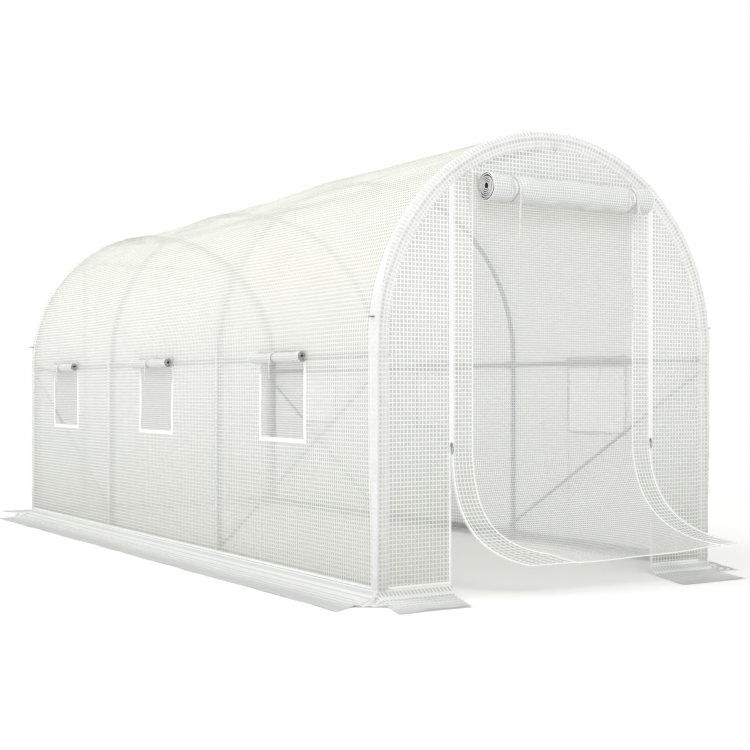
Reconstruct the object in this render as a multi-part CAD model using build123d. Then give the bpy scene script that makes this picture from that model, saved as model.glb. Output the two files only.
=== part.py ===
from build123d import *
import os
from math import cos, pi, sin, sqrt

# Walk-in polytunnel greenhouse: four tube hoops, rails and braces under a film cover.
# The entrance end is at -Y, with its film door rolled up and its insect net door
# unzipped at the foot and swept to one side. The other end is zipped shut.
# X runs across the tunnel, Y along it, Z up. The origin is on the ground, at the middle.
# Millimetres.

# Whole tunnel, over the film
width = 1900
length = 4540
height = 2000
film = 3
half = width / 2
end = length / 2
spring = height - half

# Steel tube frame, inside the film
tube = 25
tube_sides = 8
slack = 0.5
hoop_count = 4
hoop_r = half - film - slack - tube / 2
hoop_end = end - film - slack - tube / 2
bay = 2 * hoop_end / (hoop_count - 1)
hoop_places = [i * bay - hoop_end for i in range(hoop_count)]
rail_inset = hoop_r - tube - slack
rail_past_hoop = 10
side_rail_z = 1010
base_rail_z = 38

# Diagonal braces: thinner tube with flattened ends that bolt to the legs
brace_tube = 16
brace_top_z = 955
brace_foot_z = 84
brace_flat = 3
brace_flat_length = 36
brace_neck = 34
brace_bolt = 6

# Moulded saddles that hold the rails to the hoops, and the feet
saddle_wall = 4
saddle_length = 44
saddle_chamfer = 3
foot_base = 6
foot_top_z = 58

# Roof film hangs this much lower halfway between two hoops, over the ridge rail
roof_sag = 22
sag_steps = 3

# Skirt that lies on the ground. The sides' free edges are given by their corners, drawn leftwards.
seam_z = 34
side_reach = 290
end_reach = 360
skirt_run = 56
left_edge = ((-1240, -2450), (-1190, 2070))
right_edge = ((-1010, -2430), (-1040, -2230), (-1240, -1900), (-1240, 2070))
corner_tip = 120
left_splay = (120, 150)
right_splay = (-130, -140)

# Doorways
door_half = 571
door_top = 1760
slider_z = 620
zip_tape = 24
zip_proud = 2

# Rolled film door, wound in half turns, and its ties
roll_half = 460
roll_r = 65
roll_core = 20
roll_turns = 4
roll_film = 5
roll_z = 1735
tie = 1.5
tie_width = 30
tie_tail = 14
door_tie_places = (-235, 430)
door_tail_length = 165

# Loose foot of the net door: where its lower corners end, right, forwards and up
net_sheet = 2
left_corner = (-331, 250, 124)
right_corner = (826, 330, 163)
sweep_power = 2.3
forward_power = 1.6
fall_bow = 0.75
flap_steps = 8

# Windows, one to a bay, each with its flap rolled up over it
window_w = 440
window_shift = 52
window_low = 640
window_high = 1000
window_roll_r = 28
window_roll_bore = 11
window_roll_w = 490
window_roll_z = 1014
window_tie_shift = 25
window_tail_length = 120

# Guy tabs on the end hoops
tab_z = 1165
tab_size = (26, 22, 3)
tab_eye = 5


def slab(face, y_low, y_high):
    """A drawing in X and Z, as thick as from y_low to y_high."""
    return extrude(Plane.XZ.offset(-y_low) * face, amount=y_low - y_high)


def block(x, y, z):
    """A box from its low and high values along each axis."""
    size = [high - low for low, high in (x, y, z)]
    middle = [(low + high) / 2 for low, high in (x, y, z)]
    return Pos(*middle) * Box(*size)


def rod(start, finish, section):
    """A straight bar of a drawn section. Level bars have the drawing's X upwards."""
    run = Vector(*finish) - Vector(*start)
    side = (0, 0, 1) if abs(run.Z) < 1 else (1, 0, 0)
    return extrude(Plane(origin=start, x_dir=side, z_dir=run) * section, amount=run.length)


def tube_section(diameter):
    """Round tube drawn with few sides, so that long bends and bores stay light."""
    return RegularPolygon(diameter / 2, tube_sides)


def strap_ring(inner_r):
    """Strap pulled round a roll, a flat side towards the wall."""
    ring = (RegularPolygon(inner_r + tie, tube_sides, major_radius=False)
            - RegularPolygon(inner_r, tube_sides, major_radius=False))
    return Rot(0, 0, 180 / tube_sides) * ring


def both_sides(solid):
    """The solid on the left and its mirror image on the right."""
    return [solid, mirror(solid, Plane.YZ)]


def save(name, *solids):
    """Solids of one node go out in one file, side by side where there are several."""
    shape = solids[0] if len(solids) == 1 else Compound(children=list(solids))
    export_step(shape, f"parts/{name}.step")


def hoop_arch(y):
    ring = Plane.XY.offset(spring) * Pos(hoop_r, y) * tube_section(tube)
    return revolve(ring, axis=Axis((0, y, spring), (0, -1, 0)), revolution_arc=180)


def hoop_leg(y):
    return rod((-hoop_r, y, foot_base), (-hoop_r, y, spring), tube_section(tube))


def rail(x, z):
    """A rail along the tunnel that runs a little past the end hoops."""
    reach = hoop_end + rail_past_hoop
    return rod((x, -reach, z), (x, reach, z), tube_section(tube))


def saddle_span(y):
    """A saddle's width along the tunnel, which the end film limits at the end hoops."""
    side = tube / 2 + saddle_wall
    return max(y - side, film - end), min(y + side, end - film)


def ridge_saddle(y):
    """Hangs the ridge rail from the crown of a hoop."""
    crown = spring + hoop_r
    low = spring + rail_inset - tube / 2 - saddle_wall
    body = block((-saddle_length / 2, saddle_length / 2), saddle_span(y), (low, crown))
    body = chamfer(body.edges().group_by(Axis.Z)[0], saddle_chamfer)
    return body - hoop_arch(y) - rail(0, spring + rail_inset)


def side_saddle(y):
    """Holds a side rail against the inner side of a leg."""
    inner = -rail_inset + tube / 2 + saddle_wall
    z_span = (side_rail_z - saddle_length / 2, side_rail_z + saddle_length / 2)
    body = block((-hoop_r, inner), saddle_span(y), z_span)
    body = chamfer(body.edges().group_by(Axis.X)[-1], saddle_chamfer)
    return body - hoop_leg(y) - rail(-rail_inset, side_rail_z)


def foot(y):
    """Moulded foot: a flat base under the leg, and a saddle for the base rail beside it."""
    inner = -rail_inset + tube / 2 + saddle_wall
    body = block((-hoop_r, inner), saddle_span(y), (foot_base, foot_top_z))
    body = chamfer(body.edges().group_by(Axis.X)[-1], saddle_chamfer)
    base = block((slack + film - half, inner), saddle_span(y), (0, foot_base))
    return base + body - hoop_leg(y) - rail(-rail_inset, base_rail_z)


def brace(toward):
    """Diagonal from the shoulder of an end hoop to the foot of the next one."""
    top = Vector(tube / 2 - hoop_r, toward * hoop_end, brace_top_z)
    low = Vector(tube / 2 - hoop_r, toward * (hoop_end - bay), brace_foot_z)
    half_run = (low - top).length / 2
    along = Plane(origin=(top + low) / 2, x_dir=low - top, z_dir=(1, 0, 0))
    half_brace = brace_half(half_run)
    return along * (half_brace + mirror(half_brace, Plane.YZ))


def brace_half(bolt):
    """Half a brace along X, lying on Z = 0: round tube, a neck, and a flat tab with a bolt hole."""
    flat_w = pi * brace_tube / 2 - brace_flat
    neck_end = bolt - brace_flat_length + flat_w / 2
    neck_start = neck_end - brace_neck
    middle = extrude(squeezed(0, brace_tube, brace_tube), amount=neck_start, dir=(1, 0, 0))
    neck = loft([squeezed(neck_start, brace_tube, brace_tube),
                 squeezed(neck_end, flat_w, brace_flat)], ruled=True)
    tab = Pos((neck_end + bolt) / 2, 0) * Rectangle(bolt - neck_end, flat_w)
    tab += Pos(bolt, 0) * Circle(flat_w / 2)
    tab -= Pos(bolt, 0) * Circle(brace_bolt / 2)
    return middle + neck + extrude(tab, amount=brace_flat)


def squeezed(x, wide, thick):
    """Section of a brace at x, pressed from a tube down to wide by thick."""
    turns = [(i + 0.5) * 2 * pi / tube_sides for i in range(tube_sides)]
    points = [(x, wide / 2 * cos(a), thick / 2 * (1 + sin(a))) for a in turns]
    return Face(Wire.make_polygon(points))


def arch_face(radius):
    """Half a disc above the spring line."""
    disc = Pos(0, spring) * Circle(radius)
    return disc & Pos(0, spring + radius / 2) * Rectangle(2 * radius, radius)


def end_face(foot_z):
    """The whole outline of an end, from foot_z up."""
    return arch_face(half) + Pos(0, (foot_z + spring) / 2) * Rectangle(width, spring - foot_z)


def sagged_arch(y, radius, drop):
    """Section of the roof at y: an arch whose crown is drop lower than the hoops'."""
    arc = ThreePointArc((-radius, spring), (0, spring + radius - drop), (radius, spring))
    return Plane.XZ.offset(-y) * make_face([arc, Line(arc @ 1, arc @ 0)])


def roof_body(radius):
    """The roof as a solid: level over the end hoops, sagging between all of them."""
    level = slab(arch_face(radius), film - end, -hoop_end)
    body = level + mirror(level, Plane.XZ)
    for start in hoop_places[:-1]:
        shares = [i / sag_steps for i in range(sag_steps + 1)]
        drops = [4 * roof_sag * t * (1 - t) for t in shares]
        sections = [sagged_arch(start + bay * t, radius, d) for t, d in zip(shares, drops)]
        body += loft(sections, ruled=True)
    return body


def window_places():
    """Middle of each bay, with the windows' small shift towards the back."""
    return [y + bay / 2 + window_shift for y in hoop_places[:-1]]


def window_block(y, x_low, x_high):
    span = (y - window_w / 2, y + window_w / 2)
    return block((x_low, x_high), span, (window_low, window_high))


def side_wall():
    wall = block((-half, film - half), (film - end, end - film), (seam_z, spring))
    for y in window_places():
        wall -= window_block(y, -half - 1, film - half + 1)
    return wall


def window_roll(y):
    x = -half - tie - window_roll_r
    ends = [(x, y + side * window_roll_w / 2, window_roll_z) for side in (-1, 1)]
    return rod(*ends, Circle(window_roll_r) - tube_section(2 * window_roll_bore))


def window_tie(y):
    """Band round a window roll, with a tail that hangs in front of the window."""
    x = -half - tie - window_roll_r
    y += window_tie_shift
    ends = [(x, y + side * tie_tail / 2, window_roll_z) for side in (-1, 1)]
    band = rod(*ends, strap_ring(window_roll_r))
    low = window_roll_z - window_roll_r - window_tail_length
    outside = x - window_roll_r - tie
    tail = block((outside, outside + tie), (y - tie_tail / 2, y + tie_tail / 2), (low, window_roll_z))
    return band + tail


def end_wall_side(y_low, y_high):
    """The film beside a doorway, left of it."""
    keep = Pos(-(half + door_half) / 2, height / 2) * Rectangle(half - door_half, height)
    return slab(end_face(seam_z) & keep, y_low, y_high)


def end_wall_top(y_low, y_high):
    keep = Pos(0, (door_top + height) / 2) * Rectangle(2 * door_half, height - door_top)
    return slab(arch_face(half) & keep, y_low, y_high)


def net_door():
    """The net door: flat where it is zipped, then a loose foot swept to the right."""
    flat = block((-door_half, door_half), (-end, net_sheet - end), (slider_z, door_top))
    back = Vector(0, net_sheet, 0)
    rows = []
    for i in range(flap_steps + 1):
        left = flap_edge(-door_half, left_corner, i / flap_steps)
        right = flap_edge(door_half, right_corner, i / flap_steps)
        rows.append(Face(Wire.make_polygon([left, right, right + back, left + back])))
    return flat + loft(rows, ruled=True)


def flap_edge(x, corner, t):
    """A point of the flap's side edge: forwards at first, then swept right as well."""
    clear = 1 / flap_steps
    swept = (max(0, t - clear) / (1 - clear)) ** sweep_power
    fallen = t + fall_bow * t * (1 - t)
    z = slider_z - (slider_z - corner[2]) * fallen
    return Vector(x + (corner[0] - x) * swept, -end - corner[1] * t**forward_power, z)


def half_turns(radius):
    """A spiral of half circles, each smaller than the last, wound inwards from radius."""
    step = (roll_r - roll_core) / (2 * roll_turns)
    arcs, here = [], radius
    for i in range(2 * roll_turns):
        way = 1 if i % 2 == 0 else -1
        there = here - step
        middle = (way * (here - there) / 2, -way * (here + there) / 2)
        arcs.append(ThreePointArc((way * here, 0), middle, (-way * there, 0)))
        here = there
    return arcs


def door_roll():
    """The film door wound up to a spiral, with daylight between its turns."""
    outer, inner = half_turns(roll_r), half_turns(roll_r - roll_film)
    caps = [Line(outer[0] @ 0, inner[0] @ 0), Line(outer[-1] @ 1, inner[-1] @ 1)]
    face = make_face([*outer, *inner, *caps])
    start = (-roll_half, -end - tie - roll_r, roll_z)
    return extrude(Plane(origin=start, x_dir=(0, 1, 0), z_dir=(1, 0, 0)) * face,
                   amount=2 * roll_half)


def door_tie(x):
    """Band round the rolled door, with a tail that hangs in front of it."""
    y = -end - tie - roll_r
    ends = [(x + side * tie_width / 2, y, roll_z) for side in (-1, 1)]
    band = rod(*ends, strap_ring(roll_r))
    low = roll_z - roll_r - door_tail_length
    front = y - roll_r - tie
    tail = block((x - tie_tail / 2, x + tie_tail / 2), (front, front + tie), (low, roll_z))
    return band + tail


def skirt_section(reach):
    """Slopes down from the seam, then lies flat. Drawn leftwards from the wall."""
    slope = (seam_z - film) / skirt_run
    thick = film * sqrt(1 + slope**2)
    return make_face(Polyline(
        (-half, seam_z),
        (-half - skirt_run, film),
        (-half - reach, film),
        (-half - reach, 0),
        (-half - (seam_z - thick) / slope, 0),
        (film - half, seam_z - thick + slope * film),
        (film - half, seam_z),
        close=True,
    ))


def cut_to(strip, *plan):
    """The part of a skirt inside a plan outline."""
    return strip & extrude(make_face(Polyline(*plan, close=True)), amount=seam_z)


def side_skirt(edge):
    """Ground skirt of the left side, out to a free edge that leans towards the entrance."""
    strip = slab(skirt_section(side_reach), edge[0][1], end)
    return cut_to(strip, (film - half, film - end), (-half, -end), *edge,
                  (-half, end), (film - half, end - film))


def end_strip():
    """The skirt's section run across the entrance end."""
    strip = slab(skirt_section(end_reach), -half - corner_tip, half + corner_tip)
    return Pos(0, half - end, 0) * Rot(0, 0, 90) * strip


def front_skirt(splay):
    """Ground skirt left of the doorway. Its two ends lean outwards by the splay's two lengths."""
    edge = -end - end_reach
    return cut_to(end_strip(), (-half, -end), (-half - splay[0], edge),
                  (-door_half - splay[1], edge), (-door_half, -end),
                  (-door_half, film - end), (film - half, film - end))


def back_skirt():
    edge = -end - end_reach
    across = cut_to(end_strip(), (film - half, film - end), (-half, -end),
                    (-half - corner_tip, edge), (half + corner_tip, edge),
                    (half, -end), (half - film, film - end))
    return mirror(across, Plane.XZ)


def zip_tape_up(x, y_low, y_high, z_low, z_high):
    """The whole tape of a closed zip."""
    return block((x - zip_tape / 2, x + zip_tape / 2), (y_low, y_high), (z_low, z_high))


def front_zip():
    """Tape of the left zip: whole above the slider, one half of it below."""
    top = zip_tape_up(-door_half, -end - zip_proud, -end, slider_z, door_top)
    lower = block((-door_half - zip_tape / 2, -door_half), (-end - zip_proud, -end),
                  (seam_z, slider_z))
    return top + lower


def zip_slider():
    face = -end - zip_proud
    body = block((-door_half - 7, 7 - door_half), (face - 6, face), (slider_z, slider_z + 18))
    pull = block((-door_half - 4, 4 - door_half), (face - 8, face - 6),
                 (slider_z - 18, slider_z + 6))
    return body + pull


def guy_tab(y):
    """Webbing tab with an eye, sewn to the film where it crosses an end hoop."""
    out, along, thick = tab_size
    x = -sqrt(half**2 - (tab_z + thick / 2 - spring) ** 2) - slack
    tab = block((x - out, x), (y - along / 2, y + along / 2), (tab_z - thick / 2, tab_z + thick / 2))
    eye = Plane((x - out / 2, y, tab_z - thick / 2)) * RegularPolygon(tab_eye, 6)
    return tab - extrude(eye, amount=thick)


def make_frame():
    for i, y in enumerate(hoop_places):
        save(f"hoop_{i + 1}_arch", hoop_arch(y))
        save(f"hoop_{i + 1}_legs", *both_sides(hoop_leg(y)))
    save("ridge_rail", rail(0, spring + rail_inset))
    save("ridge_saddles", *[ridge_saddle(y) for y in hoop_places])
    save_pairs({
        "side_rail": [rail(-rail_inset, side_rail_z)],
        "base_rail": [rail(-rail_inset, base_rail_z)],
        "side_saddles": [side_saddle(y) for y in hoop_places],
        "feet": [foot(y) for y in hoop_places],
        "braces": [brace(-1), brace(1)],
    })


def make_cover():
    save("roof_cover", roof_body(half) - roof_body(half - film))
    save_pairs({
        "wall_cover": [side_wall()],
        "window_nets": [window_block(y, 1 - half, 2 - half) for y in window_places()],
        "window_rolls": [window_roll(y) for y in window_places()],
        "window_ties": [window_tie(y) for y in window_places()],
        "front_wall": [end_wall_side(-end, film - end)],
        "back_wall": [end_wall_side(end - film, end)],
        "front_zip": [front_zip()],
    })
    save("front_wall_top", end_wall_top(-end, film - end))
    save("back_wall_top", end_wall_top(end - film, end))
    save("skirt_left", side_skirt(left_edge))
    save("skirt_right", mirror(side_skirt(right_edge), Plane.YZ))
    save("front_skirt_left", front_skirt(left_splay))
    save("front_skirt_right", mirror(front_skirt(right_splay), Plane.YZ))
    save("back_skirt", back_skirt())
    save("back_door", block((-door_half, door_half), (end - film, end), (seam_z, door_top)))
    save("back_zips", *both_sides(zip_tape_up(-door_half, end, end + zip_proud, seam_z, door_top)))
    save("front_net_door", net_door())
    save("front_door_roll", door_roll())
    save("door_ties", *[door_tie(x) for x in door_tie_places])
    save("zip_sliders", *both_sides(zip_slider()))
    tab_y = end - film - tab_size[1] / 2
    save("guy_tabs", *both_sides(guy_tab(-tab_y)), *both_sides(guy_tab(tab_y)))


def save_pairs(pieces):
    """Each named group of left-hand solids, and its mirror image on the right."""
    for name, solids in pieces.items():
        save(f"{name}_left", *solids)
        save(f"{name}_right", *[mirror(s, Plane.YZ) for s in solids])


os.makedirs("parts", exist_ok=True)
make_frame()
make_cover()
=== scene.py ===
from functools import partial
from math import cos, pi, radians, sin

import bpy
import numpy as np
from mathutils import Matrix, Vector


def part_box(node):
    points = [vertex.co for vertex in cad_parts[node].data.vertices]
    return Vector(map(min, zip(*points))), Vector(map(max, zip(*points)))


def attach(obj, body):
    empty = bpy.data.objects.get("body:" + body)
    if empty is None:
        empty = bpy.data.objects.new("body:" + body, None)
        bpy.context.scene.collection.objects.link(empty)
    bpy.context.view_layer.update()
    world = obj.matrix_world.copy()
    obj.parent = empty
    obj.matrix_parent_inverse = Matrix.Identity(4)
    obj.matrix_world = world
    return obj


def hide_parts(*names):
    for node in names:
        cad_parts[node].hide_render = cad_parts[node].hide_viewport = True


# Walk-in polytunnel greenhouse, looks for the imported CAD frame. Metres.
# X across, Y along with the entrance at -Y, Z up.

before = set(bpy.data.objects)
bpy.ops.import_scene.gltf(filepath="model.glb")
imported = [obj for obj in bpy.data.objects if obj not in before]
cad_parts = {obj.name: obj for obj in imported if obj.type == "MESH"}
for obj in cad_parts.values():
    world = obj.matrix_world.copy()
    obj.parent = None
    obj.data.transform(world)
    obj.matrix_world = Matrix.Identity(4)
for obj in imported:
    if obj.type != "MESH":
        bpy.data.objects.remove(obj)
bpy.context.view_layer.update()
scene = bpy.context.scene
print("frame loaded")

# Sizes that several pieces share, read off the CAD nodes where they give them
roofLow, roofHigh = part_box("roof_cover")
wallLow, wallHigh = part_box("wall_cover_left")
doorLow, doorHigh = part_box("back_door")
tunnel = {
    "half": roofHigh.x - 0.0015,      # middle of the film, which the CAD draws 3 mm thick
    "end": roofHigh.y - 0.0015,
    "spring": roofLow.z,
    "seam": wallLow.z,
    "corner": 0.0155,                  # the film rounds the end hoops
    "sag": (0.002, 0.016, 0.022),     # of the roof in each bay, from the entrance
    "puff": (0.013, 0.021, 0.0, 0.0),  # how far the loose cover stands off each hoop's top
    "hoopEnd": 2.2545,
    "hoopRadius": 0.934,
    "bays": 3,
    "doorHalf": doorHigh.x,
    "doorTop": doorHigh.z,
}
half, end, spring, seam = (tunnel[k] for k in ("half", "end", "spring", "seam"))
corner, hoopEnd, doorHalf, doorTop = (tunnel[k] for k in ("corner", "hoopEnd", "doorHalf", "doorTop"))
bay = 2 * hoopEnd / tunnel["bays"]
hoopPlaces = [i * bay - hoopEnd for i in range(tunnel["bays"] + 1)]
wallRun = spring - seam
archRun = pi * half
coverRun = 2 * wallRun + archRun
white = (1, 1, 1, 1)


# Tools

def linear(colour):
    parts = [int(colour[i:i + 2], 16) / 255 for i in (0, 2, 4)]
    return tuple(c / 12.92 if c <= 0.04045 else ((c + 0.055) / 1.055) ** 2.4 for c in parts) + (1.0,)


def addNode(tree, kind, feeds=None, **settings):
    # A kind is written without ShaderNode or GeometryNode, and a node that is fed in gives its first output
    family = {"SHADER": "ShaderNode", "GEOMETRY": "GeometryNode"}[tree.type]
    node = tree.nodes.new(kind if "Node" in kind else family + kind)
    for name, value in settings.items():
        setattr(node, name, value)
    for socket, values in (feeds or {}).items():
        for value in values if isinstance(values, list) else [values]:
            if isinstance(value, bpy.types.Node):
                value = value.outputs[0]
            if isinstance(value, bpy.types.NodeSocket):
                tree.links.new(value, node.inputs[socket])
            else:
                node.inputs[socket].default_value = value
    return node


def softWaves(a, b, size, seed):
    # Sines in random directions: a smooth unevenness of about -1 to 1, the same each run
    chance = np.random.default_rng(seed)
    total = 0
    for _ in range(12):
        turn, length, shift = (chance.uniform(0, pi), size * chance.uniform(0.6, 1.7),
                               chance.uniform(0, 2 * pi))
        total = total + np.sin(2 * pi * (a * cos(turn) + b * sin(turn)) / length + shift)
    return total / 4.5


def smoothStep(value, low, high):
    t = np.clip((value - low) / (high - low), 0, 1)
    return t * t * (3 - 2 * t)


def runLine(stops, step):
    # Every stop, and even steps between them
    line = [stops[0]]
    for a, b in zip(stops[:-1], stops[1:]):
        line += list(np.linspace(a, b, max(2, round((b - a) / step) + 1)))[1:]
    return np.array(line)


def unit(vectors):
    return vectors / np.maximum(np.linalg.norm(vectors, axis=-1, keepdims=True), 1e-12)


def xyz(*parts):
    # Points from their coordinates, each a number or an array
    return np.stack(np.broadcast_arrays(*(np.asarray(p, float) for p in parts)), -1)


def runOf(points):
    # Distance run at each point of a line
    return np.concatenate([[0], np.cumsum(np.linalg.norm(np.diff(points, axis=0), axis=1))])


def joined(line, *more):
    # Lines end to end, where each next one starts on the last one's end
    return np.concatenate([line] + [a[1:] for a in more])


def sheetPart(points, u, v, keep=None, flip=False, slot=0):
    # A grid of points as quads that face dv x du, or the other way with flip
    rows, cols = points.shape[:2]
    index = np.arange(rows * cols).reshape(rows, cols)
    quads = np.stack([index[:-1, :-1], index[:-1, 1:], index[1:, 1:], index[1:, :-1]], -1).reshape(-1, 4)
    slots = np.broadcast_to(slot, (rows - 1, cols - 1)).reshape(-1)
    if keep is not None:
        quads, slots = quads[keep.reshape(-1)], slots[keep.reshape(-1)]
    if flip:
        quads = quads[:, ::-1]
    used, quads = np.unique(quads, return_inverse=True)
    quads = quads.reshape(-1, 4)
    u, v = np.broadcast_to(u, (rows, cols)), np.broadcast_to(v, (rows, cols))
    places = np.stack([u, v], -1).reshape(-1, 2)[used]
    return {"points": points.reshape(-1, 3)[used], "faces": quads.tolist(),
            "uv": places[quads].reshape(-1, 2), "slots": slots.tolist()}


def sweepPart(centres, sides, ups, section, closed=False):
    # A section of (side, up) pairs carried along a run; it may change from ring to ring
    centres, section = np.asarray(centres, float), np.asarray(section, float)
    count = len(centres)
    sides, ups = (np.broadcast_to(np.asarray(a, float), (count, 3)) for a in (sides, ups))
    if section.ndim == 2:
        section = np.broadcast_to(section, (count, *section.shape))
    rings = centres[:, None] + sides[:, None] * section[..., :1] + ups[:, None] * section[..., 1:]
    n, k = rings.shape[:2]
    index = np.arange(n * k).reshape(n, k)
    here, there = (index, np.roll(index, -1, 0)) if closed else (index[:-1], index[1:])
    quads = np.stack([here, np.roll(here, -1, 1), np.roll(there, -1, 1), there], -1).reshape(-1, 4)
    flat = rings.reshape(-1, 3) - rings.reshape(-1, 3).mean(0)
    a, b, c, d = (flat[quads[:, i]] for i in range(4))
    volume = (a * np.cross(b, c)).sum() + (a * np.cross(c, d)).sum()
    girth = runOf(np.vstack([rings[0], rings[0][:1]]))
    along = runOf(np.vstack([centres, centres[:1]]))
    i, j = np.meshgrid(np.arange(len(here)), np.arange(k), indexing="ij")
    uv = np.stack([np.stack([girth[j], girth[j + 1], girth[j + 1], girth[j]], -1),
                   np.stack([along[i], along[i], along[i + 1], along[i + 1]], -1)], -1).reshape(-1, 4, 2)
    faces, places = quads.tolist(), list(uv)
    if not closed:
        faces += [index[0][::-1].tolist(), index[-1].tolist()]
        places += [section[0][::-1].copy(), section[-1].copy()]
    if volume < 0:
        faces, places = [f[::-1] for f in faces], [p[::-1] for p in places]
    return {"points": rings.reshape(-1, 3), "faces": faces, "uv": np.concatenate(places),
            "slots": [0] * len(faces)}


def place(piece, slotName, *nodes):
    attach(piece, "root")
    if nodes:
        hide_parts(*nodes)
    return piece


def addObject(name, data):
    made = bpy.data.objects.new(name, data)
    scene.collection.objects.link(made)
    return made


def makePiece(name, parts, materials, slotName, *nodes, sharp=40):
    faces, base = [], 0
    for part in parts:
        faces += [[i + base for i in f] for f in part["faces"]]
        base += len(part["points"])
    mesh = bpy.data.meshes.new(name)
    mesh.from_pydata(np.concatenate([part["points"] for part in parts]).tolist(), [], faces)
    uv = np.concatenate([part["uv"] for part in parts])
    mesh.uv_layers.new(name="metres").data.foreach_set("uv", uv.astype(np.float32).ravel())
    for material in materials:
        mesh.materials.append(material)
    mesh.polygons.foreach_set("material_index", sum((part["slots"] for part in parts), []))
    mesh.polygons.foreach_set("use_smooth", [True] * len(faces))
    if sharp:
        mesh.set_sharp_from_angle(angle=radians(sharp))
    mesh.update()
    return place(addObject(name, mesh), slotName, *nodes)


def makeSheet(name, parts, materials, slotName, *nodes):
    return makePiece(name, parts, materials, slotName, *nodes, sharp=None)


def roundSection(radius, sides=20):
    turns = np.arange(sides) * 2 * pi / sides
    return np.stack([radius * np.cos(turns), radius * np.sin(turns)], -1)


def bandSection(width, thick, ease=0.0008):
    return [(-width / 2, -0.0003), (width / 2, -0.0003), (width / 2 - ease, thick), (ease - width / 2, thick)]


def bandPart(points, normals, width, thick=0.0012):
    # A flat tape laid on a surface along a run of its points
    normals = np.broadcast_to(np.asarray(normals, float), points.shape)
    sides = unit(np.cross(unit(np.gradient(points, axis=0)), normals))
    return sweepPart(points, sides, normals, bandSection(width, thick))


# The film's own shape

def sagAt(u):
    share = (u + hoopEnd) / bay % 1
    depth = np.take(tunnel["sag"], np.clip((u + hoopEnd) // bay, 0, tunnel["bays"] - 1).astype(int))
    return np.where(np.abs(u) < hoopEnd, 4 * depth * share * (1 - share), 0.0)


def slackAt(u, v):
    # Film between two hoops is never quite flat, and a faint crease runs along each shoulder
    share = (u + hoopEnd) / bay % 1
    free = np.where(np.abs(u) < hoopEnd, np.sin(pi * share), 0.0)
    free = free * smoothStep(np.minimum(v, coverRun - v), 0, 0.2)
    shoulder = np.abs(np.minimum(v, coverRun - v) - wallRun - radians(54) * half)
    crease = 0.007 * np.exp(-shoulder / 0.05)
    wave = 0.0028 * softWaves(u, v, 0.55, 3) + 0.0012 * softWaves(u, v * 1.6, 0.14, 4)
    return free * (wave + crease)


def puffAt(u, v):
    ahead = np.interp(u, [-hoopEnd, *hoopPlaces[1:]], tunnel["puff"])
    level = np.minimum(v, coverRun - v)
    low = 0.9 * ahead * smoothStep(-u, 1.2, 2.1)
    return low * smoothStep(level, 0.15, 0.6) + (ahead - low) * smoothStep(level, wallRun, wallRun + 0.5)


def coverSurface(u, v, lift=0.0):
    # u runs along the tunnel and round its end hoops, v from the left seam over to the right one
    u, v, lift = np.broadcast_arrays(*(np.asarray(a, float) for a in (u, v, lift)))
    past = np.abs(u) - (end - corner)
    turn = np.clip(past / corner, 0, pi / 2)
    inward = corner * (1 - np.cos(turn)) + np.maximum(past - corner * pi / 2, 0)
    y = np.sign(u) * (np.minimum(np.abs(u), end - corner) + corner * np.sin(turn))
    radius = half - inward
    rise = radius - sagAt(u)
    bow = (radius ** 2 + rise ** 2) / (2 * rise)
    low = rise - bow
    first = np.arcsin(-low / bow)
    share = np.clip((v - wallRun) / archRun, 0, 1)
    angle = pi - first - share * (pi - 2 * first)
    side = np.where(v < wallRun, -1.0, np.where(v > wallRun + archRun, 1.0, 0.0))
    level = np.minimum(v, coverRun - v) + seam
    x = np.where(side != 0, side * radius, bow * np.cos(angle))
    z = np.where(side != 0, level, spring + low + bow * np.sin(angle))
    nx = np.where(side != 0, side, np.cos(angle))
    nz = np.where(side != 0, 0.0, np.sin(angle))
    normal = xyz(nx * np.cos(turn), np.sign(u) * np.sin(turn), nz * np.cos(turn))
    lift = lift + slackAt(u, v) + puffAt(u, v) * np.cos(turn)
    return xyz(x, y, z) + normal * lift[..., None], normal


def endSurface(x, z, way, lift=0.0):
    # The flat end film; way is -1 at the entrance and 1 at the back
    edge = np.minimum(np.abs(np.abs(x) - doorHalf), half - np.hypot(x, np.maximum(z - spring, 0)))
    free = smoothStep(edge, 0.0, 0.12) * smoothStep(z, seam, seam + 0.15)
    wave = 0.0030 * softWaves(x * 1.8, z, 0.5, 11 + way) + 0.0014 * softWaves(x * 1.2, z, 0.13, 15 + way)
    # the wide right-hand panel hangs slack and gathers in folds that run across it
    slack = smoothStep(x, doorHalf, 0.75) * smoothStep(z, 0.45, 0.8) * smoothStep(-z, -1.6, -1.3)
    wave = wave + 0.0050 * slack * softWaves(x * 0.35 + 0.25 * z, z, 0.11, 19)
    return xyz(x, way * (end + lift + free * wave), z), (0.0, way, 0.0)


# Materials

def newMaterial(name):
    material = bpy.data.materials.new(name)
    material.use_nodes = True
    material.node_tree.nodes.clear()
    add = partial(addNode, material.node_tree)
    return material, add, add("TexCoord")


def threadMask(add, where, pitch, share, soft=0.05):
    # 1 on the threads of a square grid and 0 between them
    scaled = add("VectorMath", {0: where.outputs["UV"], "Scale": 1 / pitch}, operation="SCALE")
    parts = add("SeparateXYZ", {0: scaled})
    lines = {}
    for axis in (0, 1):
        away = add("Math", {0: parts.outputs[axis], 1: 0.5}, operation="PINGPONG")
        lines[axis] = add("MapRange", {"Value": away, "From Min": (share - soft) / 2,
                          "From Max": (share + soft) / 2, "To Min": 1.0, "To Max": 0.0},
                          interpolation_type="SMOOTHSTEP")
    return add("Math", lines, operation="MAXIMUM")


def mixColour(add, share, first, second, blend="MIX"):
    mixed = add("Mix", {0: share, 6: first, 7: second}, data_type="RGBA", blend_type=blend)
    return mixed.outputs[2]


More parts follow.
